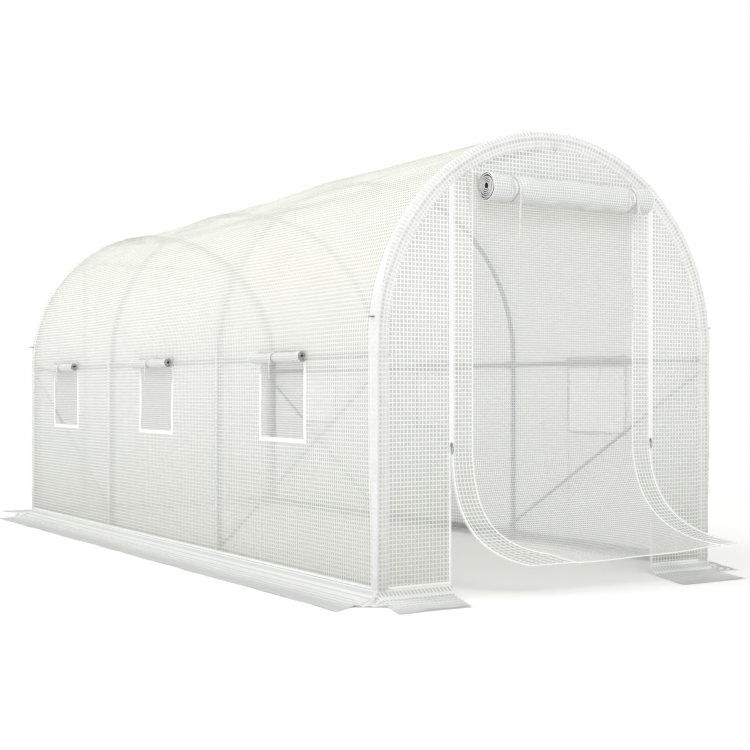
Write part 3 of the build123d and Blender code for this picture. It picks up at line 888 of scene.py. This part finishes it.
def flapLine(s, lift=0.0):
    points = flapSurface(s, tFlap, lift)
    ds = flapSurface(s + 0.02, tFlap) - flapSurface(s - 0.02, tFlap)
    normals = unit(np.cross(ds, np.gradient(points, axis=0)))
    normals[normals[:, 1] > 0] *= -1
    return points, normals


def doorLine(x, top, s, lift=0.0):
    # A run down the door: straight above the sliders, then along the flap
    z = np.linspace(top, netDoor["slider"], 24)[:-1]
    points, normals = flapLine(s, lift)
    return np.concatenate([xyz(x, yDoor - lift, z), points]), np.concatenate([xyz(0 * z, -1, 0), normals])


bindings = []
stripEdge = doorHalf - netDoor["strip"]
for x, top, s in ((-stripEdge, 1.840, leftStrip), (stripEdge, 1.820, 1 - rightStrip)):
    bindings.append(bandPart(*doorLine(x, top, s, 0.0004), netDoor["binding"], 0.0012))
    stitchLines.append(doorLine(x, top, s, 0.0020))
# the zip's other half, sewn along each loose edge
bindings += [bandPart(*flapLine(s, 0.0004), netDoor["binding"], 0.0014) for s in (0.006, 0.994)]
points = flapSurface(np.linspace(0.002, 0.998, 80), 0.985, 0.0004)
outward = unit(np.array([0.0, -0.9, 0.45]))
bindings.append(bandPart(points, outward, netDoor["hem"], 0.0012))
stitchLines.append((points + outward * 0.0018, outward))
doorBindings = makePiece("netDoorBindings", bindings, [hemTape], "insect_net")
print("net door made")


# Zips: woven tape with a coil down its middle, closed above the sliders

zips = {"tape": 0.024, "proud": 0.0016, "coilSpacing": 0.0042, "coilSize": (0.0030, 0.0066, 0.0026)}
coilLines, tapeFront, tapeBack = [], [], []


def zipRun(tapes, x, way, proud, low, high, count, width, coilAt, coilProud):
    # A tape down one side of a doorway, and the coil on it
    line = xyz(x, way * (end + proud), np.linspace(low, high, count))
    tapes.append(bandPart(line, (0, way, 0), width, zips["proud"]))
    coilLines.append((line + np.array([coilAt, way * (zips["proud"] + coilProud), 0]), (0, way, 0)))
    return line


for sign in (-1, 1):
    x, tape, slider = sign * doorHalf, zips["tape"], netDoor["slider"]
    line = zipRun(tapeFront, x, -1, 0.0026, slider - 0.001, 1.775, 40, tape, 0, 0.0004)
    stitchLines += [(line + np.array([dx, -zips["proud"] - 0.0003, 0]), (0, -1, 0)) for dx in (-0.009, 0.009)]
    # below the slider: the half that stays on the end film
    zipRun(tapeFront, x + sign * tape / 4, -1, 0.0006, seam + 0.002, slider, 20, tape / 2,
           -sign * 0.0055, 0.0002)
    zipRun(tapeBack, x, 1, 0.0010, seam + 0.002, doorTop, 44, tape, 0, 0.0004)
coilLines += [flapLine(s, 0.0010) for s in (-0.003, 1.003)]
makePiece("frontZipTapes", tapeFront, [zipCloth], "zip_tape", "front_zip_left", "front_zip_right")
makePiece("backZipTapes", tapeBack, [zipCloth], "zip_tape", "back_zips")
place(rowPiece("zipCoils", coilLines, zips["coilSpacing"], zips["coilSize"], coilNylon), "zip_tape")


def sliderParts(x):
    # Bridge over the coil, two cheeks and a hinged pull with a hole
    y, parts = -end - 0.0046, []
    for width, thick, low, high, lift in ((0.013, 0.0026, 0.000, 0.018, 0.0),
                                          (0.0045, 0.0030, 0.003, 0.015, 0.0026)):
        share = np.linspace(0, 1, 10)
        wide = width * (0.72 + 0.28 * np.sin(pi * (share * 0.85 + 0.15)))
        shape = np.array([(-0.5, 0), (0.5, 0), (0.42, 1), (-0.42, 1)])
        section = shape[None] * xyz(wide, thick)[:, None]
        centres = xyz(x, y - lift, netDoor["slider"] + low + (high - low) * share)
        parts.append(sweepPart(centres, (1, 0, 0), (0, -1, 0), section))
    a = np.linspace(0, 2 * pi, 28, endpoint=False)
    long = 0.5 + 0.5 * np.cos(a)
    loop = xyz(x + 0.0052 * np.sin(a) * (0.75 + 0.25 * long), y - 0.0062 + 0.0010 * long,
               netDoor["slider"] - 0.0115 + 0.0170 * np.cos(a))
    ahead = unit(np.roll(loop, -1, 0) - np.roll(loop, 1, 0))
    parts.append(sweepPart(loop, np.cross(ahead, (0, -1, 0)), (0, -1, 0), roundSection(0.0015, 10),
                           closed=True))
    return parts


makePiece("zipSliders", sliderParts(-doorHalf) + sliderParts(doorHalf), [zincDark], "slider_metal",
          "zip_sliders")
print("zips made")


# Rolls of film: the door wound up over its doorway, and a flap over each window

def hump(away, width):
    return np.exp(-(away / width) ** 2)


def rollSurface(look, along, turn, lift=0.0):
    # turn grows from the wall side down and round; a ribbon cinches the roll at each pinch
    share = turn / (2 * pi * look["turns"])
    radius = look["outer"] + (look["inner"] - look["outer"]) * share
    front = hump(turn % (2 * pi) - 0.97 * pi, 0.62)
    reach, wide = look["pinchReach"], look["pocketHalf"]
    pinch, fold = 0.0, 0.0
    for at, depth in look["pinches"]:
        away = np.abs(along - at)
        pinch = pinch + depth * hump(away, reach)
        fold = fold + look["fold"] * hump(away - 0.6 * reach, 0.5 * reach) * np.cos(4 * turn + 60 * away)
        # the slack film beside it caves in to an eye-shaped pocket with a lip
        pocket = along - at + look["pocketAt"]
        fold = fold + (look["pocket"] * (0.3 * hump(pocket - 1.7 * wide, 0.5 * wide) - hump(pocket, wide))
                       * front)
    lumps = look["lump"] * (softWaves(along, turn * look["outer"], look["lumpSize"], look["seed"])
                            + 0.8 * softWaves(along * 0.25, turn * look["outer"], 0.03, look["seed"] + 1))
    radius = radius * (1 - pinch) + (fold + lumps) * (1 - 0.75 * share) + lift
    droop = look["droop"] * (np.cos(2 * pi * (along - look["middle"]) / look["halfLength"]) - 1) / 2
    return (look["centre"] + look["axis"] * along[..., None]
            + look["back"] * (radius * np.cos(turn))[..., None]
            + xyz(0, 0, droop - radius * np.sin(turn)))


def rollParts(look, tail):
    # The sheet from where it leaves the wall to its last turn inside: the outer turn is finely made, and the
    # inner turns take the dark grey film that paints the shade between the windings
    flip = np.cross(look["axis"], look["back"])[2] < 0
    parts, down = [], 0.0
    within = min(4.5, look["turns"] - 0.5)
    for first, last, step, slot in ((0.0, 1.12, look["step"], 0), (1.12, within, 0.012, 1),
                                    (within, look["turns"], 0.05, 1)):
        turns = 2 * pi * np.linspace(first, last, int((last - first) * look["steps"]) + 1)
        t, a = np.meshgrid(turns, runLine(look["ends"], step), indexing="ij")
        points = rollSurface(look, a, t)
        if first == 0:
            flat = np.repeat(points[:1], 5, 0)
            flat[..., 2] += np.linspace(tail, 0.0, 6)[:-1, None]
            points = np.concatenate([flat, points])
        run = down + runOf(points[:, 0])
        parts.append(sheetPart(points, a[0], run[:, None], flip=flip, slot=slot))
        down = float(run[-1])
    return parts, down


def rollEdges(look):
    # The sheet's two hems, which show as a white spiral at each end of the roll
    parts, h = [], look["hem"] / 2
    turn = 2 * pi * np.linspace(0, look["turns"], int(look["turns"] * 28) + 1)
    for along in look["ends"]:
        line = rollSurface(look, np.full_like(turn, along), turn)
        outs = unit(line - look["centre"] - look["axis"] * along)
        parts.append(sweepPart(line, look["axis"], outs, [(-h, -h), (h, -h), (h, h), (-h, h)]))
    return parts


def ribbonBand(look, at, width, lift):
    # A ribbon pulled tight round the roll
    turn = np.linspace(0, 2 * pi, 60, endpoint=False)
    centres = rollSurface(dict(look, turns=1e6), np.full_like(turn, at), turn, lift)
    away = centres - centres.mean(0)
    ups = unit(away - np.outer(away @ look["axis"], look["axis"]))
    return sweepPart(centres, look["axis"], ups, bandSection(width, 0.0008, 0.0002), closed=True)


def ribbonRun(points, side, width, thick=0.0008):
    ahead = unit(np.gradient(points, axis=0))
    side = np.asarray(side, float)
    sides = unit(side - (ahead @ side)[:, None] * ahead)
    w, t = width / 2, thick / 2
    return sweepPart(points, sides, np.cross(ahead, sides), [(-w, -t), (w, -t), (w, t), (-w, t)])


def smoothRun(stops, count):
    # A smooth run through a few stops
    stops = np.asarray(stops, float)
    padded = np.vstack([2 * stops[0] - stops[1], stops, 2 * stops[-1] - stops[-2]])
    run = []
    for p0, p1, p2, p3 in zip(padded, padded[1:], padded[2:], padded[3:]):
        for t in np.linspace(0, 1, count, endpoint=False):
            run.append(0.5 * (2 * p1 + (p2 - p0) * t + (2 * p0 - 5 * p1 + 4 * p2 - p3) * t ** 2
                              + (3 * p1 - p0 - 3 * p2 + p3) * t ** 3))
    return np.array(run + [stops[-1]])


def hungRoll(look, centre, axis, back):
    # A roll's sizes with its place: its middle, the way it lies, and the way to the wall
    ends = [look["middle"] - look["halfLength"], look["middle"] + look["halfLength"]]
    return dict(look, centre=np.array(centre), axis=np.array(axis, float), back=np.array(back, float),
                ends=ends)


doorRoll = {"outer": 0.0645, "inner": 0.012, "turns": 6.3, "steps": 44, "step": 0.004, "middle": 0.020,
            "halfLength": 0.455, "pinches": ((-0.298, 0.13), (0.375, 0.13)), "pinchReach": 0.026,
            "fold": 0.0040, "pocket": 0.021, "pocketAt": 0.030, "pocketHalf": 0.012, "lump": 0.0022,
            "lumpSize": 0.16, "seed": 51, "z": 1.735, "droop": 0.004, "hem": 0.0028, "tail": 0.065}
rolled = hungRoll(doorRoll, (0.0, -end - 0.0031 - doorRoll["outer"], doorRoll["z"]), (1, 0, 0), (0, 1, 0))
rollSheet, rollDrop = rollParts(rolled, doorRoll["tail"])
doorRollPiece = makeSheet("doorRoll", rollSheet, [rolledFilm, woundFilmPaintedShade], "cover_film", "front_door_roll")
doorRollHems = makePiece("doorRollHems", rollEdges(rolled), [hemTape], "cover_film", sharp=50)

ties = {"width": 0.010, "shown": 0.0075, "doorTails": (((-0.296, 1.508),), ((0.380, 1.415), (0.412, 1.585))),
        "windowTail": 0.085, "loop": 0.22, "windowWidth": 0.012, "windowLength": 0.26}
tieParts, tieLength = [], 2 * 2 * pi * doorRoll["outer"] + ties["loop"]
for (at, _), tails in zip(doorRoll["pinches"], ties["doorTails"]):
    tieParts.append(ribbonBand(rolled, at, ties["shown"], 0.0012))
    front = rolled["centre"][1] - doorRoll["outer"] * 0.90 - 0.002
    knot = np.array([at, front, doorRoll["z"] - 0.006])
    for xTail, zTail in tails:
        tail = smoothRun([knot, knot + [(xTail - at) * 0.3, -0.003, -0.050],
                          (at + (xTail - at) * 0.8, front + 0.004, (doorRoll["z"] + zTail) / 2 - 0.01),
                          (xTail, front + 0.010, zTail)], 8)
        tieParts.append(ribbonRun(tail, (1, 0, 0), ties["shown"]))
        tieLength += doorRoll["z"] - zTail
# A loose loop of the same ribbon on the strip beside the roll
loop = smoothRun([(-0.516, yDoor - 0.003, 1.822), (-0.492, yDoor - 0.010, 1.765),
                  (-0.480, yDoor - 0.012, 1.690), (-0.472, yDoor - 0.003, 1.612)], 10)
tieParts.append(ribbonRun(loop, (0.5, -0.87, 0), ties["shown"]))
doorTiesPiece = makePiece("doorTies", tieParts, [ribbonCloth], "tie_ribbon", "door_ties")

windowRoll = {"outer": 0.0275, "inner": 0.006, "turns": 3.4, "steps": 32, "step": 0.006, "middle": 0.0,
              "halfLength": 0.244, "pinchReach": 0.014, "pinches": ((0.025, 0.13),), "fold": 0.0014,
              "pocket": 0.004, "pocketAt": 0.018, "pocketHalf": 0.008, "lump": 0.0007, "lumpSize": 0.12,
              "seed": 61, "z": 1.014, "droop": 0.002, "hem": 0.0018, "tail": 0.034}
for side, name in ((-1, "Left"), (1, "Right")):
    sheets, hemLines, netParts, tieParts, rollRun = [], [], [], [], 0.0
    for number, y in enumerate(windowPlaces):
        centre = (side * (half + 0.0028 + windowRoll["outer"]), y, windowRoll["z"])
        look = hungRoll(dict(windowRoll, seed=windowRoll["seed"] + number), centre, (0, 1, 0), (-side, 0, 0))
        made, drop = rollParts(look, windowRoll["tail"])
        sheets += made
        hemLines += rollEdges(look)
        rollRun += drop
        at = look["pinches"][0][0]
        tieParts.append(ribbonBand(look, at, ties["windowWidth"], 0.0009))
        knot = np.array(centre) + (side * (look["outer"] * 0.90 + 0.001), at, -0.004)
        tail = smoothRun([knot, knot + (side * 0.002, 0.002, -0.045),
                          knot + (side * -0.004, 0.010, -ties["windowTail"] - 0.01)], 8)
        tieParts.append(ribbonRun(tail, (0, 1, 0), 0.009))
        yy, zz = np.meshgrid(np.linspace(-0.5, 0.5, 19) * (windows["width"] + 0.012),
                             np.linspace(windows["low"] - 0.006, windows["high"] + 0.010, 16), indexing="ij")
        bulge = (0.003 * np.sin(pi * (yy / windows["width"] + 0.5).clip(0, 1))
                 * softWaves(yy, zz, 0.25, 71 + number))
        netParts.append(sheetPart(xyz(side * (half - 0.0006 - np.abs(bulge)), yy + y, zz), yy, zz,
                                  flip=side > 0))
    low = name.lower()
    rolls = makeSheet(f"windowRolls{name}", sheets, [rolledFilm, woundFilmPaintedShade], "cover_film",
                      f"window_rolls_{low}")
    hems = makePiece(f"windowRollHems{name}", hemLines, [hemTape], "cover_film", sharp=50)
    nets = makeSheet(f"windowNets{name}", netParts, [insectNet], "insect_net", f"window_nets_{low}")
    tied = makePiece(f"windowTies{name}", tieParts, [ribbonCloth], "tie_ribbon", f"window_ties_{low}")
print("rolls and windows made")


# Back door: the same film door, let down and zipped shut

x, z = np.meshgrid(runLine([-doorHalf, doorHalf], 0.03), runLine([seam, doorTop], 0.03), indexing="ij")
free = smoothStep(doorHalf - np.abs(x), 0, 0.12)
wave = free * (0.0035 * softWaves(x * 1.5, z * 0.7, 0.45, 81) + 0.0012 * softWaves(x, z, 0.12, 82))
backDoor = makeSheet("backDoor", [sheetPart(xyz(x, end + 0.0002 + np.abs(wave), z), x, z)], [endFilmShaded],
                     "cover_film", "back_door")


# Skirts: film that turns out from the seam and lies on the ground

skirts = {"foot": 0.070, "ripple": 0.0050, "edge": 0.0008, "line": 0.005, "lineAt": 0.052}
# The grid's rows are drawn wider apart than they lie, so that they show at this low angle
sideSkirt = {"sheet": "coverFilm", "reach": 0.290, "rows": 0.50, "along": (0, 1, 0)}
endSkirt = {"sheet": "frontEndFilm", "reach": 0.360, "rows": 0.36, "along": (1, 0, 0), "out": (0, -1, 0)}
# How far each skirt runs at each distance out ("at"): its two ends lean as its corners do
skirtKinds = {
    "left": dict(sideSkirt, node="skirt_left", out=(-1, 0, 0), foot=(-half, 0, 0), seed=90, flip=True,
                 at=[0, 0.29], first=[-2.27, -2.45], last=[2.27, 2.07]),
    "right": dict(sideSkirt, node="skirt_right", out=(1, 0, 0), foot=(half, 0, 0), seed=92, flip=False,
                  at=[0, 0.06, 0.09, 0.29], first=[-2.27, -2.43, -2.23, -1.90],
                  last=[2.27, 2.216, 2.20, 2.07]),
    "frontLeft": dict(endSkirt, node="front_skirt_left", along=(-1, 0, 0), foot=(0, -end, 0), seed=100,
                      flip=False, at=[0, 0.36], first=[doorHalf, doorHalf + 0.150], last=[0.95, 1.070]),
    "frontRight": dict(endSkirt, node="front_skirt_right", foot=(0, -end, 0), seed=102, flip=True,
                       at=[0, 0.36], first=[doorHalf, doorHalf - 0.140], last=[0.95, 0.820]),
    "back": dict(endSkirt, sheet="backEndFilm", node="back_skirt", out=(0, 1, 0), foot=(0, end, 0), seed=111,
                 flip=False, at=[0, 0.36], first=[-0.95, -1.070], last=[0.95, 1.070]),
}


def skirtFall(d):
    # Down from the seam in a shallow curve to the ground
    return seam * (1 - smoothStep(d, -0.012, skirts["foot"])) / (1 - smoothStep(0.0, -0.012, skirts["foot"]))


def skirtPoints(kind, d, w, lift=0.0):
    first, last = (np.interp(d, kind["at"], kind[edge]) for edge in ("first", "last"))
    reach, seed = kind["reach"], kind["seed"]
    s = first + (last - first) * w
    lying = smoothStep(d, 0.03, 0.14)
    # ripples across the run, broad soft folds, and a free edge that lifts here and there
    folds = (np.abs(softWaves(s, d * 0.45, 0.30, seed)) * 0.6
             + np.abs(softWaves(s, d * 1.5, 0.11, seed + 1)) * 0.3)
    curl = 0.006 * smoothStep(d, reach - 0.05, reach) * np.maximum(softWaves(s, d, 0.6, seed + 2), 0)
    crumple = 0.0009 * smoothStep(d, 0, 0.02) * softWaves(s, d, 0.07, seed + 4)
    height = (skirtFall(d) + skirts["edge"]
              + np.maximum(lying * (skirts["ripple"] * folds + curl) + crumple, 0) + lift)
    drift = 0.006 * softWaves(s, d, 0.4, seed + 3) * smoothStep(d, reach * 0.5, reach)
    along, out, foot = (np.array(kind[a], float) for a in ("along", "out", "foot"))
    return foot + along * s[..., None] + out * (d + drift)[..., None] + xyz(0, 0, height), s


skirtLines = []
for name, kind in skirtKinds.items():
    d = np.unique(np.concatenate([np.linspace(0, 0.09, 16), np.linspace(0.09, kind["reach"], 22)]))
    w = np.linspace(0, 1, int((kind["last"][0] - kind["first"][0]) / 0.024) + 12)
    points, s = skirtPoints(kind, *np.meshgrid(d, w, indexing="ij"))
    run = runOf(np.stack([d, skirtFall(d)], -1))
    piece = makeSheet(name + "Skirt", [sheetPart(points, s, run[:, None] * kind["rows"], flip=kind["flip"])],
                      [skirtFilm], "skirt_film", kind["node"])
    for at, width in ((skirts["lineAt"], 0.7 * skirts["line"]), (0.004, skirts["line"])):
        w = np.linspace(0.002, 0.998, len(w))
        points, _ = skirtPoints(kind, np.full_like(w, at), w, 0.0006)
        slope = (skirtFall(at + 0.002) - skirtFall(at - 0.002)) / 0.004
        skirtLines.append(bandPart(points, unit(np.array([0, 0, 1.0]) - np.array(kind["out"]) * slope),
                                   width, 0.0011))
makePiece("skirtSeams", skirtLines, [hemTape], "skirt_film", sharp=50)

# A gathered gusset at each corner, where the side and end skirts part: the way it faces, the
# angles it spans and its reach
gussets = {"folds": 3, "height": 0.008, "rows": 0.40, "spread": 0.10, "slack": 1.2, "width": 0.20,
           "leans": ((-1, -1, 0.55, 1.25, 0.215), (1, -1, 1.2, 1.9, 0.12),
                     (-1, 1, -0.6, 1.25, 0.13), (1, 1, -0.6, 1.25, 0.13))}
parts, gussetArea = [], 0.0
for sx, sy, a0, a1, reach in gussets["leans"]:
    a, d = np.meshgrid(np.linspace(a0 - gussets["spread"], a1 + gussets["spread"], 41),
                       np.linspace(0, reach, 20), indexing="ij")
    share = (a - a0) / (a1 - a0)
    fold = gussets["height"] * np.abs(np.sin(pi * gussets["folds"] * share)) * smoothStep(d, 0, 0.06)
    fold = fold * smoothStep(np.abs(share - 0.5), 0.62, 0.45) + 0.0022
    ragged = d * (1 + 0.05 * softWaves(a, d, 0.9, 120 + sx + 2 * sy))
    x, y = ragged * np.cos(a), ragged * np.sin(a)
    points = xyz(sx * (half + x), sy * (end + y), skirtFall(d) + fold)
    parts.append(sheetPart(points, (x + y) * gussets["rows"], (x - y) * gussets["rows"], flip=sx * sy > 0))
    gussetArea += 0.5 * (a1 - a0 + 2 * gussets["spread"]) * reach ** 2
gussetPiece = makeSheet("cornerGussets", parts, [gatheredFilm], "skirt_film")
print("skirts made")


# Sewing: one run of stitches along every seam, drawn 8 mm apart where the real ones are about 4 mm
sewing = {"spacing": 0.008, "size": (0.0050, 0.0011, 0.0009)}
place(rowPiece("stitching", stitchLines, sewing["spacing"], sewing["size"], threadFibre), "cover_film")

# Steel eyelets in the guy tabs
eyelet = {"inX": 0.013, "inY": 0.011, "radius": 0.0062, "wire": 0.0010}
low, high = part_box("guy_tabs")
ring = roundSection(1.0, 24)
outs = xyz(ring[:, 0], ring[:, 1], 0)
eyelets = [sweepPart(np.array([sx * (high.x - eyelet["inX"]), sy * (high.y - eyelet["inY"]), z])
                     + outs * eyelet["radius"], outs, (0, 0, 1), roundSection(eyelet["wire"], 8), closed=True)
           for sx in (-1, 1) for sy in (-1, 1) for z in (low.z - 0.0002, high.z + 0.0002)]
makePiece("tabEyelets", eyelets, [zincSteel], "tab_webbing")


# Pale studio: a floor that fades into the backdrop, a bright even sky and one large key light

studio = {"floor": "FAFAF9", "backdrop": 1.0, "sky": 0.88, "fade": (2.6, 6.5), "floorHalf": 60,
          "floorAt": -0.0005, "aim": (0, 0, 0.8)}
# Place, size and power of each lamp
lamps = {"key": ((-4.5, 0.5, 7.0), 5.0, 240.0), "fill": ((-1.5, -7.5, 5.5), 2.5, 120.0)}
scene.view_settings.view_transform = "Standard"
world = bpy.data.worlds.new("studio")
world.use_nodes = True
world.node_tree.nodes.clear()
add = partial(addNode, world.node_tree)
sky, backdrop = (add("Background", {"Color": white, "Strength": studio[part]})
                 for part in ("sky", "backdrop"))
seenDirectly = add("LightPath").outputs["Is Camera Ray"]
add("OutputWorld", {"Surface": add("MixShader", {0: seenDirectly, 1: sky, 2: backdrop})})
scene.world = world

floorMaterial, add, where = newMaterial("pale studio floor")
distance = add("VectorMath", {0: where.outputs["Object"]}, operation="LENGTH").outputs["Value"]
fade = add("MapRange", {"Value": distance, "From Min": studio["fade"][0], "From Max": studio["fade"][1]},
           interpolation_type="SMOOTHSTEP")
paint = add("BsdfDiffuse", {"Color": linear(studio["floor"])})
glow = add("Emission", {"Color": white, "Strength": studio["backdrop"]})
add("OutputMaterial", {"Surface": add("MixShader", {0: fade, 1: paint, 2: glow})})
floorMesh = bpy.data.meshes.new("studioFloor")
floorMesh.from_pydata([(x * studio["floorHalf"], y * studio["floorHalf"], studio["floorAt"])
                       for x, y in ((-1, -1), (1, -1), (1, 1), (-1, 1))], [], [(0, 1, 2, 3)])
floorMesh.materials.append(floorMaterial)
addObject("studioFloor", floorMesh)

for name, (spot, size, power) in lamps.items():
    lamp = bpy.data.lights.new(name, "AREA")
    lamp.size, lamp.energy = size, power
    light = addObject(name, lamp)
    light.location = spot
    light.rotation_euler = (Vector(studio["aim"]) - Vector(spot)).to_track_quat("-Z", "Y").to_euler()
scene.cycles.transparent_max_bounces = 24
print("studio made")
